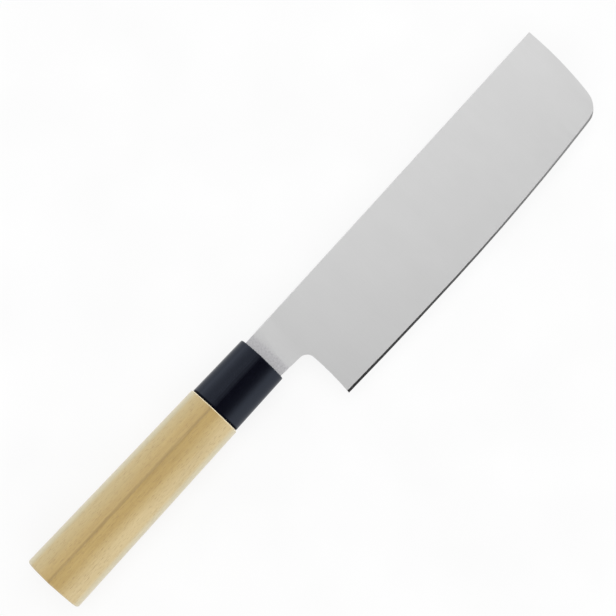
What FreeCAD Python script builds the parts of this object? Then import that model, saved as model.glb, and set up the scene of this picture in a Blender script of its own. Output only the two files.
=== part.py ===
import FreeCAD, Part
import math
import os

from FreeCAD import Vector

# Nakiri knife with a hidden tang and a right-handed D-section handle, in millimetres.
# It is drawn with x from the ferrule's front face towards the tip, y from the handle's axis
# towards the spine and z from the blade's middle plane towards the right-hand side.
# The finished pieces are then moved so that the origin is the bottom centre of the knife's box.

# Blade outline
edge_length = 165.0
heel_from_ferrule = 14.4
spine_height_at_ferrule = 9.65
spine_height_at_tip = 11.5
edge_depth = 36.65
belly_from_heel = 65.5
heel_lift = 0.85
tip_lift = 4.6
front_radius = 165.0
front_apex_height = 1.5
tip_corner_radius = 11.0
heel_back_radius = 130.0
heel_back_apex_depth = 19.9
neck_depth_at_ferrule = 10.25
neck_depth_at_heel = 11.25
neck_radius = 4.2

# Blade thickness and grinds
stock_thickness = 2.0
spine_thickness_at_heel = 1.84
spine_thickness_at_tip = 1.64
shoulder_thickness_at_heel = 0.58
plunge_from_ferrule = 14.0
plunge_radius = 150.0
bevel_angle = 15.0
edge_allowance = 0.3
run_off_radius = 27.0
spine_easing = 0.25

# Hidden tang
neck_seat_depth = 3.0
tang_length = 82.0
tang_root_height = 13.0
tang_end_height = 8.0
tang_end_radius = 2.5
tang_shoulder_radius = 1.0

# Wooden handle, from its front shoulder back to the butt
wood_length = 96.3
butt_width = 27.55
butt_belly_depth = 9.9
butt_ridge_height = 10.6
wood_front_width = 25.15
wood_front_belly_depth = 9.1
wood_front_ridge_height = 9.8
butt_edge_radius = 1.2
wood_front_chamfer = 0.4

# Ferrule over the handle's tenon
ferrule_length = 29.0
ferrule_step = 0.53
ferrule_front_width = 23.25
ferrule_front_belly_depth = 8.4
ferrule_front_ridge_height = 9.1
ferrule_wall = 2.4
ferrule_ledge_thickness = 3.0
ferrule_front_edge_radius = 0.5
ferrule_back_edge_radius = 0.6

# D section, shared by the handle, its tenon and the ferrule
ridge_radius = 0.8
ridge_offset_share = 0.125
spine_facet_angle = 20.0
edge_facet_angle = 18.0
spine_reach_share = 0.85
edge_reach_share = 0.7
side_rise_share = 0.7
belly_fullness_share = 0.58

# Flat strips that make up each rounded end of the handle and the ferrule
rounding_strips = 4

# Fits and fills
tenon_clearance = 0.1
tenon_end_clearance = 0.5
neck_clearance = 0.25
tang_side_clearance = 0.5
tang_height_clearance = 0.2
tang_end_clearance = 2.0

# Reach of every cutting body past what it cuts
overrun = 5.0

# Places that follow from the sizes above
z_axis = Vector(0, 0, 1)
tip_x = heel_from_ferrule + edge_length
belly_x = heel_from_ferrule + belly_from_heel
belly_to_tip = tip_x - belly_x
shoulder_x = -neck_seat_depth
ledge_back_x = shoulder_x - ferrule_ledge_thickness
tenon_end_x = ledge_back_x - tenon_end_clearance
tang_end_x = shoulder_x - tang_length
wood_front_x = -ferrule_length
butt_x = wood_front_x - wood_length
heel_edge_radius = (belly_from_heel ** 2 + heel_lift ** 2) / (2 * heel_lift)
tip_edge_radius = (belly_to_tip ** 2 + tip_lift ** 2) / (2 * tip_lift)
heel_edge_centre = Vector(belly_x, heel_edge_radius - edge_depth, 0)
tip_edge_centre = Vector(belly_x, tip_edge_radius - edge_depth, 0)
front_centre = Vector(tip_x - front_radius, front_apex_height, 0)
spine_slope = (spine_height_at_tip - spine_height_at_ferrule) / tip_x
neck_slope = (neck_depth_at_heel - neck_depth_at_ferrule) / heel_from_ferrule


# Drawing helpers
def line(start, end):
    return Part.LineSegment(start, end).toShape()


def arc(centre, radius, start, end):
    """The shorter arc of a circle between two of its points."""
    middle = ((start + end) / 2 - centre).normalize()
    return Part.Arc(start, centre + middle * radius, end).toShape()


def bezier(*poles):
    curve = Part.BezierCurve()
    curve.setPoles(list(poles))
    return curve.toShape()


def polygon_face(points):
    return Part.Face(Part.makePolygon(points + points[:1]))


def right_of(centre, radius, y):
    """Point at height y on the right-hand half of a circle."""
    return Vector(centre.x + math.sqrt(radius ** 2 - (y - centre.y) ** 2), y, 0)


def below(centre, radius, x):
    """Point at length x on the lower half of a circle."""
    return Vector(x, centre.y - math.sqrt(radius ** 2 - (x - centre.x) ** 2), 0)


def lower_crossing(centre_a, radius_a, centre_b, radius_b):
    """The lower of the two points where two circles cross."""
    apart = centre_b - centre_a
    along = (apart.Length ** 2 + radius_a ** 2 - radius_b ** 2) / (2 * apart.Length)
    aside = math.sqrt(radius_a ** 2 - along ** 2)
    direction = Vector(apart).normalize()
    foot = centre_a + direction * along
    crossings = [foot + z_axis.cross(direction) * side for side in (aside, -aside)]
    return min(crossings, key=lambda point: point.y)


def upright_edges(solid, corner):
    """The edges along z that stand over one corner of an outline."""
    found = []
    for edge in solid.Edges:
        ends = [vertex.Point for vertex in edge.Vertexes]
        plan = [Vector(end.x, end.y, 0) for end in ends]
        if all(point.isEqual(corner, Part.Precision.approximation()) for point in plan):
            found.append(edge)
    return found


# Blade, neck and tang in one piece of steel
def heel_corner():
    return below(heel_edge_centre, heel_edge_radius, heel_from_ferrule)


def heel_back_centre():
    """Centre of the shallow hollow that forms the back of the heel."""
    heel = heel_corner()
    reach = math.sqrt(heel_back_radius ** 2 - (heel.y + heel_back_apex_depth) ** 2)
    return Vector(heel.x - reach, -heel_back_apex_depth, 0)


def blade_blank():
    """The stamped blank, with an allowance below the edge for its bevels."""
    heel_blank_radius = heel_edge_radius + edge_allowance
    tip_blank_radius = tip_edge_radius + edge_allowance
    back_centre = heel_back_centre()

    tang_top = Vector(tang_end_x, tang_end_height / 2, 0)
    tang_bottom = Vector(tang_end_x, -tang_end_height / 2, 0)
    root_top = Vector(shoulder_x, tang_root_height / 2, 0)
    root_bottom = Vector(shoulder_x, -tang_root_height / 2, 0)
    neck_top = Vector(shoulder_x, spine_height_at_ferrule + spine_slope * shoulder_x, 0)
    neck_bottom = Vector(shoulder_x, -neck_depth_at_ferrule - neck_slope * shoulder_x, 0)
    spine_corner = right_of(front_centre, front_radius, spine_height_at_tip)
    tip_corner = lower_crossing(front_centre, front_radius, tip_edge_centre, tip_blank_radius)
    belly = below(tip_edge_centre, tip_blank_radius, belly_x)
    heel = lower_crossing(back_centre, heel_back_radius, heel_edge_centre, heel_blank_radius)
    neck_corner = right_of(back_centre, heel_back_radius, -neck_depth_at_heel)

    outline = Part.Wire([
        line(tang_top, root_top),
        line(root_top, neck_top),
        line(neck_top, spine_corner),
        arc(front_centre, front_radius, spine_corner, tip_corner),
        arc(tip_edge_centre, tip_blank_radius, tip_corner, belly),
        arc(heel_edge_centre, heel_blank_radius, belly, heel),
        arc(back_centre, heel_back_radius, heel, neck_corner),
        line(neck_corner, neck_bottom),
        line(neck_bottom, root_bottom),
        line(root_bottom, tang_bottom),
        line(tang_bottom, tang_top),
    ])
    blank = Part.Face(outline).extrude(z_axis * stock_thickness)
    blank.translate(z_axis * (-stock_thickness / 2))
    for corner, radius in (
        (neck_corner, neck_radius),
        (tip_corner, tip_corner_radius),
        (root_top, tang_shoulder_radius),
        (root_bottom, tang_shoulder_radius),
        (tang_top, tang_end_radius),
        (tang_bottom, tang_end_radius),
    ):
        blank = blank.makeFillet(radius, upright_edges(blank, corner))
    return blank


def side_grinder():
    """What the wheel takes off the right side: a flat that ends in the plunge's radius."""
    spine_at_heel = Vector(heel_from_ferrule, spine_height_at_ferrule, spine_thickness_at_heel / 2)
    spine_at_tip = Vector(tip_x, spine_height_at_tip, spine_thickness_at_tip / 2)
    edge_at_heel = heel_corner() + z_axis * (shoulder_thickness_at_heel / 2)
    along = (spine_at_tip - spine_at_heel).normalize()
    normal = (edge_at_heel - spine_at_heel).cross(along).normalize()
    across = normal.cross(along)

    length = tip_x + overrun
    plunge_foot = Vector(0, 0, 0)
    plunge_top = Vector(-plunge_radius, 0, plunge_radius)
    back_top = plunge_top + z_axis * stock_thickness
    front_top = Vector(length, 0, back_top.z)
    front_foot = Vector(length, 0, 0)
    profile = Part.Wire([
        arc(Vector(0, 0, plunge_radius), plunge_radius, plunge_foot, plunge_top),
        line(plunge_top, back_top),
        line(back_top, front_top),
        line(front_top, front_foot),
        line(front_foot, plunge_foot),
    ])
    reach_up = spine_height_at_tip + overrun
    reach_down = edge_depth + overrun
    wheel = Part.Face(profile).extrude(Vector(0, reach_up + reach_down, 0))
    wheel.translate(Vector(0, -reach_down, 0))

    start = spine_at_heel - along * (heel_from_ferrule - plunge_from_ferrule)
    start = start - across * spine_height_at_ferrule
    turn = FreeCAD.Rotation(along, across, normal, "ZXY")
    wheel.Placement = FreeCAD.Placement(start, turn).multiply(wheel.Placement)
    return wheel


def edge_end():
    """Where the cutting edge meets the round of the tip's lower corner, and that round's centre."""
    centre = lower_crossing(
        front_centre,
        front_radius - tip_corner_radius,
        tip_edge_centre,
        tip_edge_radius - tip_corner_radius,
    )
    outward = (centre - tip_edge_centre).normalize()
    return tip_edge_centre + outward * tip_edge_radius, centre


def edge_grinder():
    """Both bevels of the cutting edge, swept along its two arcs, past the heel and off the tip's corner."""
    apex = Vector(belly_x, -edge_depth, 0)
    rise = z_axis * (stock_thickness / 2)
    inward = Vector(0, rise.Length / math.tan(math.radians(bevel_angle)), 0)
    outward = Vector(0, -overrun, 0)
    notch = polygon_face([
        apex,
        apex + inward + rise,
        apex + outward + rise,
        apex + outward - rise,
        apex + inward - rise,
    ])
    end, corner_centre = edge_end()
    heel_turn = math.degrees(math.asin((belly_from_heel + overrun) / heel_edge_radius))
    tip_turn = math.degrees(math.asin((end.x - belly_x) / tip_edge_radius))
    run_off_turn = math.degrees(tip_corner_radius / run_off_radius)
    run_off_centre = end + (corner_centre - end).normalize() * run_off_radius
    heel_side = notch.revolve(heel_edge_centre, z_axis, -heel_turn)
    tip_side = notch.revolve(tip_edge_centre, z_axis, tip_turn)
    last_notch = notch.rotated(tip_edge_centre, z_axis, tip_turn)
    run_off = last_notch.revolve(run_off_centre, z_axis, run_off_turn)
    return heel_side.fuse([tip_side, run_off])


def spine_edges(blade):
    """The long edges of the spine, from the tang's shoulder to the tip."""
    spine_middle = Part.Vertex(Vector(belly_x, spine_height_at_ferrule + spine_slope * belly_x, 0))
    spine = min(blade.Faces, key=lambda face: face.distToShape(spine_middle)[0])
    return [edge for edge in spine.Edges if edge.Vertexes[0].Z * edge.Vertexes[-1].Z > 0]


def make_blade():
    right_grinder = side_grinder()
    left_grinder = right_grinder.mirror(Vector(0, 0, 0), z_axis)
    blade = blade_blank().cut(right_grinder).cut(left_grinder).cut(edge_grinder())
    return blade.makeFillet(spine_easing, spine_edges(blade))


# Handle and ferrule
def d_section(x, width, belly_depth, ridge_height):
    """D section at length x: an oval belly on the left, two facets and a soft ridge on the right."""
    half_width = width / 2
    ridge_y = ridge_offset_share * half_width
    ridge_centre = Vector(x, ridge_y, ridge_height - ridge_radius)
    bottom = Vector(x, 0, -belly_depth)

    def half(side, facet_angle, reach_share):
        """Where a facet leaves the ridge, the facet, and the belly's quarter below it."""
        slope = math.radians(facet_angle)
        down_facet = Vector(0, side * math.cos(slope), -math.sin(slope))
        out_of_facet = Vector(0, side * math.sin(slope), math.cos(slope))
        top = ridge_centre + out_of_facet * ridge_radius
        flank = Vector(x, side * half_width, 0)
        run = (half_width - side * top.y) / math.cos(slope)
        rise = z_axis * (top.z - run * math.sin(slope))
        facet = bezier(
            top,
            top + down_facet * (reach_share * run),
            flank + rise * side_rise_share,
            flank,
        )
        quarter = bezier(
            flank,
            flank - z_axis * (belly_fullness_share * belly_depth),
            bottom + Vector(0, side * belly_fullness_share * half_width, 0),
            bottom,
        )
        return top, facet, quarter

    spine_top, spine_facet, spine_quarter = half(1, spine_facet_angle, spine_reach_share)
    edge_top, edge_facet, edge_quarter = half(-1, edge_facet_angle, edge_reach_share)
    ridge = Part.Arc(edge_top, ridge_centre + z_axis * ridge_radius, spine_top).toShape()
    return Part.Wire([ridge, spine_facet, spine_quarter, edge_quarter, edge_facet])


def tapered_section(x, inset, back_x, back_sizes, front_x, front_sizes):
    """D section at length x between two ends, drawn in from its outside by an inset."""
    share = (x - back_x) / (front_x - back_x)
    width, belly_depth, ridge_height = (
        back + share * (front - back) for back, front in zip(back_sizes, front_sizes)
    )
    return d_section(x, width - 2 * inset, belly_depth - inset, ridge_height - inset)


def wood_section(x, inset):
    butt = (butt_width, butt_belly_depth, butt_ridge_height)
    front = (wood_front_width, wood_front_belly_depth, wood_front_ridge_height)
    return tapered_section(x, inset, butt_x, butt, wood_front_x, front)


def ferrule_section(x, inset):
    back = (
        wood_front_width - 2 * ferrule_step,
        wood_front_belly_depth - ferrule_step,
        wood_front_ridge_height - ferrule_step,
    )
    front = (ferrule_front_width, ferrule_front_belly_depth, ferrule_front_ridge_height)
    return tapered_section(x, inset, wood_front_x, back, 0, front)


def end_sections(section, end_x, inward, radius, strips):
    """Sections from the full outside, over a rounded edge, to the end face. One strip is a chamfer."""
    turns = [math.pi / 2 * step / strips for step in range(strips + 1)]
    return [
        section(end_x + inward * radius * (1 - math.sin(turn)), radius * (1 - math.cos(turn)))
        for turn in turns
    ]


def loft(sections):
    return Part.makeLoft(sections, True, True)


def tang_pocket():
    """The tapered slot that runs through the ferrule's ledge and into the handle."""
    taper = (tang_root_height - tang_end_height) / tang_length
    clearance = tang_shoulder_radius + tang_height_clearance
    end_x = tang_end_x - tang_end_clearance
    root_half = tang_root_height / 2 + clearance
    end_half = (tang_end_height - taper * tang_end_clearance) / 2 + clearance
    half_thickness = stock_thickness / 2 + tang_side_clearance
    plan = polygon_face([
        Vector(shoulder_x, root_half, -half_thickness),
        Vector(shoulder_x, -root_half, -half_thickness),
        Vector(end_x, -end_half, -half_thickness),
        Vector(end_x, end_half, -half_thickness),
    ])
    return plan.extrude(z_axis * (2 * half_thickness))


def neck_recess(front_x):
    """The slot in the ferrule's face that the neck drops into, up to a given length."""
    top = spine_height_at_ferrule + neck_clearance
    bottom = -neck_depth_at_ferrule - neck_clearance
    half_thickness = stock_thickness / 2 + neck_clearance
    corner = Vector(shoulder_x, bottom, -half_thickness)
    return Part.makeBox(front_x - shoulder_x, top - bottom, 2 * half_thickness, corner)


def make_wood_handle():
    butt = end_sections(wood_section, butt_x, 1, butt_edge_radius, rounding_strips)
    front = end_sections(wood_section, wood_front_x, -1, wood_front_chamfer, 1)
    grip = loft(butt[::-1] + front)
    inset = ferrule_wall + tenon_clearance
    tenon = loft([ferrule_section(wood_front_x, inset), ferrule_section(tenon_end_x, inset)])
    return grip.fuse(tenon).cut(tang_pocket())


def make_ferrule():
    back = end_sections(ferrule_section, wood_front_x, 1, ferrule_back_edge_radius, rounding_strips)
    front = end_sections(ferrule_section, 0, -1, ferrule_front_edge_radius, rounding_strips)
    sleeve = loft(back[::-1] + front)
    socket = loft([
        ferrule_section(wood_front_x - overrun, ferrule_wall),
        ferrule_section(ledge_back_x, ferrule_wall),
    ])
    return sleeve.cut(socket).cut(tang_pocket()).cut(neck_recess(overrun))


def make_tang_adhesive(blade):
    """The resin that beds the tang in its pocket."""
    return tang_pocket().cut(blade)


def make_mouth_seal(blade):
    """The resin that closes the recess around the neck, flush with the ferrule's face."""
    return neck_recess(0).cut(blade)


def make_pieces():
    blade = make_blade()
    return {
        "blade": blade,
        "wood_handle": make_wood_handle(),
        "ferrule": make_ferrule(),
        "tang_adhesive": make_tang_adhesive(blade),
        "mouth_seal": make_mouth_seal(blade),
    }


def to_bottom_centre():
    """The move that puts the origin at the bottom centre of the knife's box."""
    top_y = max(butt_width / 2, spine_height_at_tip)
    return Vector(-(tip_x + butt_x) / 2, -(top_y - edge_depth) / 2, butt_belly_depth)


os.makedirs("parts", exist_ok=True)
for name, piece in make_pieces().items():
    piece.translate(to_bottom_centre())
    solid, = piece.Solids
    solid.exportStep(f"parts/{name}.step")
    print(name, "volume %.0f mm3" % solid.Volume, "valid" if solid.isValid() else "broken")
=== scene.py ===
import math

import bpy
from mathutils import Matrix, Vector


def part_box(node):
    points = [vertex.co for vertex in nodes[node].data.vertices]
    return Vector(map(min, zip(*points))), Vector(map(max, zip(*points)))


# Looks for the nakiri knife: a procedural material for each solid, and a plain stage around it.
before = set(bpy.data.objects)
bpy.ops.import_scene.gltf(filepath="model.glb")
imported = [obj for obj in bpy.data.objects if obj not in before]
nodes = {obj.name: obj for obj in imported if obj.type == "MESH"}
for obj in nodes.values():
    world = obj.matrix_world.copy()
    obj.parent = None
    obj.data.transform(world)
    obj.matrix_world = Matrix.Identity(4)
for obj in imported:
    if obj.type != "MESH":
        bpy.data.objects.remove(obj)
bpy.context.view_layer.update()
scene = bpy.context.scene

# Places on the knife, in millimetres
mm_per_metre = 1000
tip_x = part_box("blade")[1].x * mm_per_metre
wood_low, wood_high = (corner * mm_per_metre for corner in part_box("wood_handle"))
ferrule_low, ferrule_high = (corner * mm_per_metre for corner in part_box("ferrule"))
joint_x = ferrule_low.x
ferrule_front_x = ferrule_high.x
neck_length = 14.4
heel_x = ferrule_front_x + neck_length
handle_axis_y = (wood_low.y + wood_high.y) / 2
handle_axis = (0, handle_axis_y, 0)

# The wood's half width tapers evenly from the butt to the joint, where the ferrule is a step smaller
ferrule_step = 0.5
butt_half_width = (wood_high.y - wood_low.y) / 2
joint_half_width = (ferrule_high.y - ferrule_low.y) / 2 + ferrule_step
half_width_slope = (joint_half_width - butt_half_width) / (joint_x - wood_low.x)
half_width_at_origin = butt_half_width - half_width_slope * wood_low.x

# Bands along the handle's ridge: how far from the axis towards the spine, and how high they begin
wood_ridge_y = 2.0
ferrule_ridge_y = 1.9
ridge_rise_z = (15, 17)


# Helpers for node trees
def set_inputs(tree, node, inputs):
    """Each input of a node, by name or number, joined to an output or set to a value."""
    for key, value in inputs.items():
        if isinstance(value, bpy.types.NodeSocket):
            tree.links.new(value, node.inputs[key])
        else:
            node.inputs[key].default_value = value


def add(tree, kind, inputs=None, **settings):
    """A new node with its settings and inputs."""
    node = tree.nodes.new(kind)
    for name, value in settings.items():
        setattr(node, name, value)
    set_inputs(tree, node, inputs or {})
    return node


def maths(tree, operation, *values):
    """The result of a Math node on one to three numbers."""
    return add(tree, "ShaderNodeMath", dict(enumerate(values)), operation=operation).outputs[0]


def vector_maths(tree, operation, first, second):
    """The outputs of a Vector Math node: Vector, or Value for a dot product."""
    return add(tree, "ShaderNodeVectorMath", {0: first, 1: second}, operation=operation).outputs


def remap(tree, value, source, target):
    """A smooth step of a value from one range to another, clamped at both ends."""
    node = add(
        tree,
        "ShaderNodeMapRange",
        {
            "Value": value,
            "From Min": source[0],
            "From Max": source[1],
            "To Min": target[0],
            "To Max": target[1],
        },
        interpolation_type="SMOOTHSTEP",
    )
    return node.outputs["Result"]


def mixed(tree, factor, first, second, blend="MIX"):
    """Two colours mixed by a factor. Blender's Mix node keeps its colour sockets at 6 and 7."""
    node = add(
        tree,
        "ShaderNodeMix",
        {0: factor, 6: first, 7: second},
        data_type="RGBA",
        blend_type=blend,
    )
    return node.outputs[2]


def toned(tree, colour, tone, share=1.0):
    """A colour multiplied by a tone, as far as a share says."""
    return mixed(tree, share, colour, tone, "MULTIPLY")


def mixed_number(tree, factor, first, second):
    """Two numbers mixed by a factor. Blender's Mix node keeps its number sockets at 2 and 3."""
    return add(tree, "ShaderNodeMix", {0: factor, 2: first, 3: second}, data_type="FLOAT").outputs[0]


def ramp(tree, factor, stops, interpolation="LINEAR"):
    """A colour ramp through stops of position and colour."""
    node = add(tree, "ShaderNodeValToRGB", {"Fac": factor})
    elements = node.color_ramp.elements
    node.color_ramp.interpolation = interpolation
    while len(elements) < len(stops):
        elements.new(1)
    for element, (position, colour) in zip(elements, stops):
        element.position = position
        element.color = colour
    return node.outputs["Color"]


def grey(value):
    return (value, value, value, 1)


def srgb(red, green, blue):
    """A linear colour from the 8-bit values that a screen shows."""
    def linear(level):
        share = level / 255
        return share / 12.92 if share <= 0.04045 else ((share + 0.055) / 1.055) ** 2.4

    return (linear(red), linear(green), linear(blue), 1)


def separate(tree, vector):
    """A vector's X, Y and Z."""
    return add(tree, "ShaderNodeSeparateXYZ", {"Vector": vector}).outputs


def place_mm(tree, origin=(0, 0, 0), stretch=(1, 1, 1), turn=(0, 0, 0)):
    """Where a point lies from an origin, in millimetres, then stretched, and turned in degrees."""
    metres = add(tree, "ShaderNodeTexCoord").outputs["Object"]
    place = vector_maths(tree, "MULTIPLY", metres, (mm_per_metre,) * 3)["Vector"]
    mapping = add(
        tree,
        "ShaderNodeMapping",
        {
            "Vector": vector_maths(tree, "SUBTRACT", place, origin)["Vector"],
            "Rotation": [math.radians(angle) for angle in turn],
            "Scale": stretch,
        },
    )
    return mapping.outputs["Vector"]


def facing(tree):
    """Which way the surface faces, as the X, Y and Z of its normal."""
    return separate(tree, add(tree, "ShaderNodeNewGeometry").outputs["Normal"])


def noise(tree, vector, scale, detail=2.0, roughness=0.5):
    node = add(
        tree,
        "ShaderNodeTexNoise",
        {"Vector": vector, "Scale": scale, "Detail": detail, "Roughness": roughness},
    )
    return node.outputs["Fac"]


def bump(tree, height, depth):
    """A normal for a relief whose height of 1 stands so many millimetres proud."""
    inputs = {"Height": height, "Distance": depth / mm_per_metre, "Strength": 1.0}
    return add(tree, "ShaderNodeBump", inputs).outputs["Normal"]


def new_material(name):
    """A material with a bare Principled shader, and its tree."""
    material = bpy.data.materials.new(name)
    material.use_nodes = True
    tree = material.node_tree
    return material, tree, tree.nodes["Principled BSDF"]


def along_ridge(tree, at, ridge_y, fade):
    """A band along the handle's ridge, full up to one distance from its middle and gone at another."""
    off_ridge = maths(tree, "ABSOLUTE", maths(tree, "SUBTRACT", at["Y"], ridge_y))
    on_top = remap(tree, at["Z"], ridge_rise_z, (0.0, 1.0))
    return maths(tree, "MULTIPLY", remap(tree, off_ridge, fade, (1.0, 0.0)), on_top)


# Materials
def steel():
    """Satin steel, ground from spine to edge, with polished bevels and an unpolished neck."""
    material, tree, shader = new_material("blade_steel_satin")
    place = place_mm(tree)
    along = separate(tree, place)["X"]
    grind_lean = 4
    grind_place = place_mm(tree, stretch=(1, 0.03, 1), turn=(0, 0, grind_lean))
    grind_lines = noise(tree, grind_place, scale=2.4, detail=3.0, roughness=0.6)
    cloud = noise(tree, place_mm(tree, stretch=(1, 0.25, 1)), scale=0.06, detail=3.0, roughness=0.55)
    grit = noise(tree, place, scale=1.2, detail=4.0, roughness=0.65)

    # The unpolished band: most of it ends in one step, and a trace of it a little further on
    wander = remap(tree, noise(tree, place, scale=0.5), (0.2, 0.8), (-0.3, 0.3))
    from_ferrule = maths(tree, "SUBTRACT", along, ferrule_front_x)
    from_ferrule = maths(tree, "ADD", from_ferrule, wander)
    band_end = remap(tree, from_ferrule, (4.0, 5.8), (0.8, 0.0))
    trace_end = remap(tree, from_ferrule, (6.6, 8.4), (0.2, 0.0))
    unpolished = maths(tree, "ADD", band_end, trace_end)

    # The bevels lean 15 degrees, so their normals reach 0.966 in Z
    upright = maths(tree, "ABSOLUTE", facing(tree)["Z"])
    not_steeper = remap(tree, upright, (0.955, 0.96), (0.0, 1.0))
    not_flatter = remap(tree, upright, (0.972, 0.985), (1.0, 0.0))
    bevel = maths(tree, "MULTIPLY", not_steeper, not_flatter)

    # Painted shade: the ground steel is darkened a little towards the heel, next to the ferrule
    heel_shade_length = 40
    heel_painted_shade = remap(tree, from_ferrule, (0, heel_shade_length), (0.965, 1.0))
    line_tone = ramp(tree, grind_lines, [(0.3, grey(0.97)), (0.7, grey(1.0))])
    ground_colour = ramp(tree, cloud, [(0.3, grey(0.69)), (0.7, grey(0.705))])
    ground_colour = toned(tree, toned(tree, ground_colour, line_tone), heel_painted_shade)
    raw_greys = [(0.3, (0.54, 0.535, 0.55, 1)), (0.7, (0.77, 0.765, 0.78, 1))]
    raw_colour = ramp(tree, grit, raw_greys)

    ground_roughness = remap(tree, grind_lines, (0.25, 0.75), (0.34, 0.42))
    raw_roughness = remap(tree, grit, (0.3, 0.7), (0.44, 0.58))
    bevel_roughness = remap(tree, along, (heel_x, tip_x), (0.2, 0.44))
    roughness = mixed_number(tree, unpolished, ground_roughness, raw_roughness)

    line_depth_share = 0.12
    pits = maths(tree, "MULTIPLY", grit, unpolished)
    relief = maths(tree, "MULTIPLY_ADD", grind_lines, line_depth_share, pits)
    set_inputs(
        tree,
        shader,
        {
            "Base Color": mixed(tree, unpolished, ground_colour, raw_colour),
            "Roughness": mixed_number(tree, bevel, roughness, bevel_roughness),
            "Normal": bump(tree, relief, depth=0.02),
            "Metallic": 1.0,
        },
    )
    return material


def growth_rings(tree, drift):
    """Growth rings round a heart below the handle and off to its spine side, a little out of true."""
    ring_centre = (0, handle_axis_y + 21, -34)
    place = place_mm(tree, ring_centre, turn=(0, 1.2, 0.8))
    sway = remap(tree, drift, (0.2, 0.8), (-2.5, 2.5))
    wave = add(
        tree,
        "ShaderNodeTexWave",
        {
            "Vector": vector_maths(tree, "ADD", place, sway)["Vector"],
            "Scale": 0.11,
            "Distortion": 0.9,
            "Detail": 2.0,
            "Detail Scale": 0.6,
        },
        wave_type="RINGS",
        rings_direction="X",
        wave_profile="SAW",
    )
    return wave.outputs["Fac"]


def wood():
    """Pale straight-grained wood, sanded, with painted sheen on its flanks and edges, and rings on the
    butt.
    """
    material, tree, shader = new_material("handle_wood_pale")
    at = separate(tree, place_mm(tree, handle_axis))
    normal = facing(tree)

    def streaks(along_share, scale, detail=2.0, roughness=0.5):
        """Noise drawn out along the grain, where its scale is only a share of that across."""
        return noise(tree, place_mm(tree, handle_axis, (along_share, 1, 1)), scale, detail, roughness)

    drift = streaks(1 / 6, scale=0.12)
    fibre = streaks(0.035, scale=1.1, detail=4.0, roughness=0.6)
    fine = streaks(0.05, scale=3.6)
    pores = streaks(0.12, scale=4.2, detail=0.0)
    patches = streaks(0.25, scale=0.11)

    # A darker heart along the middle, with paler sapwood towards the edge and the spine; this paleness
    # on the flanks is partly painted sheen, lighter where white surroundings glance off them
    heart_browns = [(0.25, srgb(171, 142, 80)), (0.5, srgb(177, 149, 86)), (0.78, srgb(183, 157, 95))]
    sap_and_sheen_browns = [(0.25, srgb(193, 171, 121)), (0.5, srgb(199, 178, 129)), (0.78, srgb(205, 185, 138))]
    spine_sheen_brown = srgb(190, 172, 126)
    sideways = maths(tree, "ADD", at["Y"], remap(tree, drift, (0.2, 0.8), (-1.0, 1.0)))
    edge_side = remap(tree, sideways, (-9.0, -1.0), (1.0, 0.0))
    spine_side = remap(tree, sideways, (2.0, 11.0), (0.0, 0.8))
    colour = mixed(tree, edge_side, ramp(tree, fibre, heart_browns), ramp(tree, fibre, sap_and_sheen_browns))
    colour = mixed(tree, spine_side, colour, spine_sheen_brown)

    # Grain: rings in full on the butt and faint along the sides, broad patches, fine lines and pores
    butt_to_side = (-0.95, -0.6)
    pore_brown = srgb(140, 106, 60)
    ring_share = remap(tree, normal["X"], butt_to_side, (1.0, 0.15))
    ring_stops = [(0.0, grey(1.0)), (0.5, grey(0.95)), (1.0, grey(0.68))]
    colour = toned(tree, colour, ramp(tree, growth_rings(tree, drift), ring_stops), ring_share)
    colour = toned(tree, colour, ramp(tree, patches, [(0.3, (0.94, 0.93, 0.91, 1)), (0.7, grey(1.0))]))
    colour = toned(tree, colour, ramp(tree, fine, [(0.3, grey(0.93)), (0.7, grey(1.0))]), share=0.8)
    pore = remap(tree, pores, (0.62, 0.74), (0.0, 0.45))
    colour = mixed(tree, pore, colour, pore_brown)

    # Painted sheen: the two facets beside the ridge pale towards their outer edges, where white
    # surroundings glance off them
    sheen_edge_brown = srgb(199, 197, 173)
    half_width = maths(tree, "MULTIPLY_ADD", at["X"], half_width_slope, half_width_at_origin)
    inside_edge = maths(tree, "SUBTRACT", half_width, maths(tree, "ABSOLUTE", at["Y"]))
    painted_sheen_edge = remap(tree, inside_edge, (0.8, 3.0), (0.5, 0.0))
    on_facet = remap(tree, normal["Z"], (0.1, 0.4), (0.0, 1.0))
    colour = mixed(tree, maths(tree, "MULTIPLY", painted_sheen_edge, on_facet), colour, sheen_edge_brown)

    # A thin dark line on the ridge, the butt's end grain, and a painted highlight on the chamfer at
    # the joint
    ridge_brown = srgb(126, 99, 38)
    end_grain_brown = srgb(150, 124, 82)
    highlight_brown = srgb(240, 226, 190)
    ridge_line = along_ridge(tree, at, wood_ridge_y, fade=(0.1, 1.1))
    ridge_strength = remap(tree, fibre, (0.3, 0.7), (0.576, 0.36))
    colour = mixed(tree, maths(tree, "MULTIPLY", ridge_line, ridge_strength), colour, ridge_brown)
    end_grain = remap(tree, normal["X"], butt_to_side, (0.2, 0.0))
    colour = mixed(tree, end_grain, colour, end_grain_brown)
    # Painted highlight: the chamfer just behind the joint is painted pale, as if it caught the light
    behind_joint = maths(tree, "SUBTRACT", joint_x, at["X"])
    chamfer_highlight = remap(tree, behind_joint, (0.25, 0.45), (0.9, 0.0))
    colour = mixed(tree, chamfer_highlight, colour, highlight_brown)

    set_inputs(
        tree,
        shader,
        {
            "Base Color": colour,
            "Roughness": remap(tree, fibre, (0.25, 0.75), (0.36, 0.46)),
            "Normal": bump(tree, maths(tree, "SUBTRACT", fibre, pore), depth=0.03),
            "Specular IOR Level": 1.0,
            "Sheen Weight": 0.7,
            "Sheen Roughness": 0.4,
        },
    )
    return material


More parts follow.
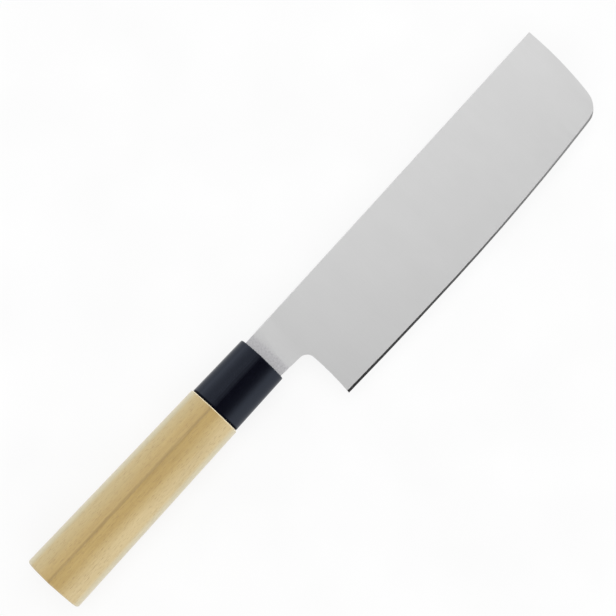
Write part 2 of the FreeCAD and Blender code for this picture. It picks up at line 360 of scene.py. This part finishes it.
def moulded_plastic():
    """Satin blue-black plastic with a few scuffs, duller on its ridge and beside the wood."""
    material, tree, shader = new_material("ferrule_plastic_satin")
    place = place_mm(tree)
    at = separate(tree, place_mm(tree, handle_axis))
    grain = noise(tree, place, scale=3.0, detail=3.0, roughness=0.6)
    cloud = noise(tree, place, scale=0.22)
    scuff_lean = 20
    scuff_place = place_mm(tree, stretch=(0.12, 1, 1), turn=(0, 0, scuff_lean))
    scuff = remap(tree, noise(tree, scuff_place, scale=1.6), (0.66, 0.78), (0.0, 0.25))
    blue_blacks = [(0.3, (0.0012, 0.0012, 0.0036, 1)), (0.7, (0.0020, 0.0021, 0.0050, 1))]
    scuff_grey = srgb(38, 41, 48)

    # Wear along the ridge takes the shine off a wide band and roughens the middle of it
    worn_roughness = 0.3
    full_shine = 0.6
    worn_shine = 0.25
    wear = along_ridge(tree, at, ferrule_ridge_y, fade=(0.3, 2.1))
    deep_wear = maths(tree, "MULTIPLY", wear, wear)
    roughness = remap(tree, grain, (0.3, 0.7), (0.17, 0.22))
    roughness = maths(tree, "MULTIPLY_ADD", scuff, worn_roughness, roughness)
    roughness = maths(tree, "MULTIPLY_ADD", deep_wear, worn_roughness, roughness)
    shine = maths(tree, "MULTIPLY_ADD", wear, worn_shine - full_shine, full_shine)
    from_joint = maths(tree, "SUBTRACT", at["X"], joint_x)
    off_joint = remap(tree, from_joint, (0.7, 1.3), (0.1, 1.0))

    set_inputs(
        tree,
        shader,
        {
            "Base Color": mixed(tree, scuff, ramp(tree, cloud, blue_blacks), scuff_grey),
            "Roughness": roughness,
            "Normal": bump(tree, grain, depth=0.012),
            "Specular IOR Level": maths(tree, "MULTIPLY", shine, off_joint),
            "Specular Tint": (0.67, 0.785, 1.0, 1),
        },
    )
    return material


def resin(name, dark, light):
    """Cured resin, clouded and dented by small bubbles."""
    material, tree, shader = new_material(name)
    place = place_mm(tree)
    cloud = noise(tree, place, scale=0.5, detail=3.0)
    bubbles = add(tree, "ShaderNodeTexVoronoi", {"Vector": place, "Scale": 1.1, "Randomness": 1.0})
    dents = remap(tree, bubbles.outputs["Distance"], (0.05, 0.25), (0.0, 1.0))
    set_inputs(
        tree,
        shader,
        {
            "Base Color": ramp(tree, cloud, [(0.3, dark), (0.7, light)]),
            "Roughness": remap(tree, cloud, (0.3, 0.7), (0.3, 0.45)),
            "Normal": bump(tree, dents, depth=0.04),
        },
    )
    return material


finishes = {
    "blade": steel(),
    "wood_handle": wood(),
    "ferrule": moulded_plastic(),
    "tang_adhesive": resin("bedding_resin_amber", srgb(150, 118, 62), srgb(188, 152, 92)),
    "mouth_seal": resin("sealing_resin_black", srgb(14, 14, 17), srgb(28, 28, 32)),
}
for name, material in finishes.items():
    nodes[name].material_slots[0].material = material


# Floor, light and camera, in metres
def floor():
    """A plain white table, large enough for every view, with a glow that keeps its shadows pale."""
    reach = 6.0
    glow = 0.83
    mesh = bpy.data.meshes.new("floor")
    corners = [(-reach, -reach, 0), (reach, -reach, 0), (reach, reach, 0), (-reach, reach, 0)]
    mesh.from_pydata(corners, [], [(0, 1, 2, 3)])
    piece = bpy.data.objects.new("floor", mesh)
    scene.collection.objects.link(piece)

    material, tree, shader = new_material("floor_white")
    paper = noise(tree, place_mm(tree), scale=0.02)
    set_inputs(
        tree,
        shader,
        {
            "Base Color": ramp(tree, paper, [(0.3, grey(0.11)), (0.7, grey(0.13))]),
            "Roughness": 0.9,
            "Specular IOR Level": 0.1,
            "Emission Color": grey(1.0),
            "Emission Strength": glow,
        },
    )
    mesh.materials.append(material)


def tent():
    """A soft tent: white round the horizon and overhead, grey between, dim on the edge side."""
    world = bpy.data.worlds.new("studio")
    scene.world = world
    world.use_nodes = True
    tree = world.node_tree
    towards = add(tree, "ShaderNodeTexCoord").outputs["Generated"]
    panel = Vector((0.22, 0.15, 0.96)).normalized()
    height = vector_maths(tree, "DOT_PRODUCT", towards, panel)["Value"]
    white = grey(0.95)
    wall_stops = [
        (0.0, white),
        (0.44, white),
        (0.60, grey(0.36)),
        (0.76, grey(0.21)),
        (0.84, grey(0.20)),
        (0.93, white),
        (1.0, white),
    ]
    wall = ramp(tree, height, wall_stops, "EASE")

    brighter_side = (0.9, 1.8, 0)
    dimmest = 0.07
    side = vector_maths(tree, "DOT_PRODUCT", towards, brighter_side)["Value"]
    above_horizon = remap(tree, height, (0.4, 0.65), (0.0, 1.0))
    side_tone = maths(tree, "MULTIPLY_ADD", side, above_horizon, 1.0)
    side_tone = maths(tree, "MAXIMUM", side_tone, dimmest)
    light = vector_maths(tree, "MULTIPLY", wall, side_tone)["Vector"]
    set_inputs(tree, tree.nodes["Background"], {"Color": light, "Strength": 1.0})


def lamp():
    """A broad soft lamp overhead that shows in no reflection."""
    data = bpy.data.lights.new("overhead_panel", "SUN")
    data.energy = 1.8
    data.angle = math.radians(100)
    piece = bpy.data.objects.new("overhead_panel", data)
    piece.rotation_euler = (math.radians(10), 0, 0)
    piece.visible_glossy = False
    scene.collection.objects.link(piece)


def camera():
    """The photograph's view: from above, leaning to the butt, with the knife rising to the right."""
    target = Vector((0.00159, 0.0119975, 0.0099))
    distance = 0.773
    lean = math.radians(6.5)
    roll = math.radians(47.3)
    ahead = Vector((math.sin(lean), 0, -math.cos(lean)))
    up = Vector((math.sin(roll), math.cos(roll), 0))
    up = (up - ahead * up.dot(ahead)).normalized()
    right = ahead.cross(up)
    data = bpy.data.cameras.new("camera")
    data.sensor_width = 36
    data.lens = 108.73
    piece = bpy.data.objects.new("camera", data)
    turn = Matrix((right, up, -ahead)).transposed().to_4x4()
    piece.matrix_world = Matrix.Translation(target - ahead * distance) @ turn
    scene.collection.objects.link(piece)
    scene.camera = piece


floor()
tent()
lamp()
camera()
scene.view_settings.view_transform = "Standard"
